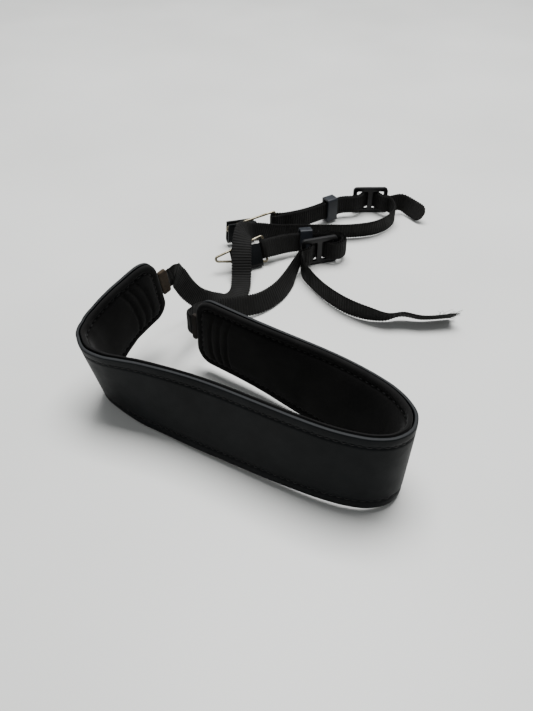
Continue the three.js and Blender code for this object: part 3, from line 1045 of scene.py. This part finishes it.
for side in ("left", "right"):
    rounded_copy(f"{side}_slider", f"{side}_slider_body", slider_finish, 0.45)
    rounded_copy(f"{side}_keeper", f"{side}_keeper_sleeve", keeper_finish, 0.3)
    rounded_copy(f"{side}_end_tab", f"{side}_end_tab_hide", raw_finish[side], 0.35)
    rounded_copy(f"{side}_lug_tab", f"{side}_lug_guard", leather, 0.35)

# %% [markdown]
# ## Lug rings
# Each ring is one piece of round wire bent into a long triangle. Sweeping a circle round the
# bent outline gives true round wire, with even light along it, at a small cost in faces.

# %% Bend the wire
RING_LENGTH, RING_BASE, RING_WIRE, RING_CORNER = 34, 17, 1.5, 2.2
BEND_CUTS = 10
WIRE_SIDES = 12


def ring_outline():
    """The wire's middle line in the ring's plane: its nose at -x, its straight base near x = 0."""
    half = RING_BASE / 2 - RING_WIRE / 2
    corner = RING_CORNER - RING_WIRE / 2
    slope = math.atan2(RING_BASE / 2 - RING_CORNER, RING_LENGTH - 2 * RING_CORNER)
    turn = math.pi / 2 + slope
    bends = [
        (-RING_CORNER, half - corner, 0, turn),
        (RING_CORNER - RING_LENGTH, 0, turn, 2 * math.pi - turn),
        (-RING_CORNER, corner - half, -turn, 0),
    ]
    spots = []
    for cx, cy, first, last in bends:
        for angle in np.linspace(first, last, BEND_CUTS):
            spots.append((cx + corner * math.cos(angle), cy + corner * math.sin(angle)))
    return np.array(spots)


def bend_ring(name, loop, node):
    middle, along, across, out = (v[0] for v in loop.at(loop.length))
    base = middle - along * RING_WIRE / 2
    line = np.array([base - along * x + across * y for x, y in ring_outline()])
    forward = unit(np.roll(line, -1, 0) - np.roll(line, 1, 0))
    inward = np.cross(forward, out)
    angles = np.linspace(0, 2 * math.pi, WIRE_SIDES, endpoint=False)
    radius = RING_WIRE / 2
    rings = [
        [p + radius * (n * math.cos(a) + out * math.sin(a)) for a in angles]
        for p, n in zip(line, inward)
    ]
    points, faces = skin_rings(rings, looped=True)
    return add_piece(name, points, faces, wire_finish, node)


for side, loop in (("left", left_loop), ("right", right_loop)):
    ring = bend_ring(f"{side}_ring_wire", loop, f"{side}_lug_ring")
    low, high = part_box(f"{side}_lug_ring")
    made = np.array([v.co for v in ring.data.vertices])
    print(side, "ring off its place by, mm:", np.round((made.min(0) - np.array(low)) / MM, 2))

# %% [markdown]
# ## Table
# A plain pale table shows black things best. It is one flat face far larger than the view, a
# hair below the strap, and a very broad noise keeps it from looking like paper.

# %% Table
TABLE_HALF_WIDTH = 6.0
TABLE_DROP = 0.0001
TABLE_DARK = (0.67, 0.675, 0.655)
TABLE_LIGHT = (0.73, 0.735, 0.715)


def pale_table():
    finish = Finish("pale_table", Specular_IOR_Level=0.35)
    cloud = finish.noise(160, detail=2)
    finish.wire(finish.ramp(cloud, (0.3, TABLE_DARK), (0.7, TABLE_LIGHT)), "Base Color")
    finish.wire(finish.ramp(cloud, (0.3, 0.34), (0.7, 0.42)), "Roughness")
    return finish.material


def add_table():
    signs = ((-1, -1), (1, -1), (1, 1), (-1, 1))
    corners = [(x * TABLE_HALF_WIDTH, y * TABLE_HALF_WIDTH, 0) for x, y in signs]
    mesh = bpy.data.meshes.new("table")
    mesh.from_pydata(corners, [], [(0, 1, 2, 3)])
    mesh.materials.append(pale_table())
    table = bpy.data.objects.new("table", mesh)
    table.location.z = cad_low[2] - TABLE_DROP
    bpy.context.scene.collection.objects.link(table)
    table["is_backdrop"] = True
    return table


print("table height, mm:", round(add_table().location.z / MM, 2))

# %% [markdown]
# ## Light
# The shape of a black thing is read from the sheen along its edges. One large panel overhead and
# behind gives that sheen, a weak one in front opens the near faces, and the world fills in.

# %% Light
def add_panel(name, place, aim, size, power):
    data = bpy.data.lights.new(name, "AREA")
    data.shape = "RECTANGLE"
    data.size, data.size_y = size
    data.energy = power
    panel = bpy.data.objects.new(name, data)
    panel.location = place
    panel.rotation_euler = (Vector(aim) - Vector(place)).to_track_quat("-Z", "Y").to_euler()
    bpy.context.scene.collection.objects.link(panel)
    return panel


def soft_world(colour, strength):
    world = bpy.data.worlds.new("room")
    world.use_nodes = True
    background = world.node_tree.nodes["Background"]
    background.inputs["Color"].default_value = (*colour, 1)
    background.inputs["Strength"].default_value = strength
    bpy.context.scene.world = world


soft_world((0.95, 0.98, 1.0), 0.26)
add_panel("overhead", place=(0.1, 0.35, 1.2), aim=(0, 0.05, 0), size=(0.9, 0.7), power=34)
add_panel("front_fill", place=(-0.5, -0.9, 0.8), aim=(0, -0.03, 0), size=(1.2, 0.6), power=1)
print("panels:", [light.name for light in bpy.data.lights])

# %% [markdown]
# ## Compare the sizes
# The visual pieces have to fill the same box as the packed ones, so how far their box has grown past the
# packed box on each side is printed.

# %% Print how far the box has grown
visual_low, visual_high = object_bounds()
grown = [a - b for a, b in zip((*cad_low, *visual_high), (*visual_low, *cad_high))]
print("grown by, mm:", [round(g / MM, 2) for g in grown])
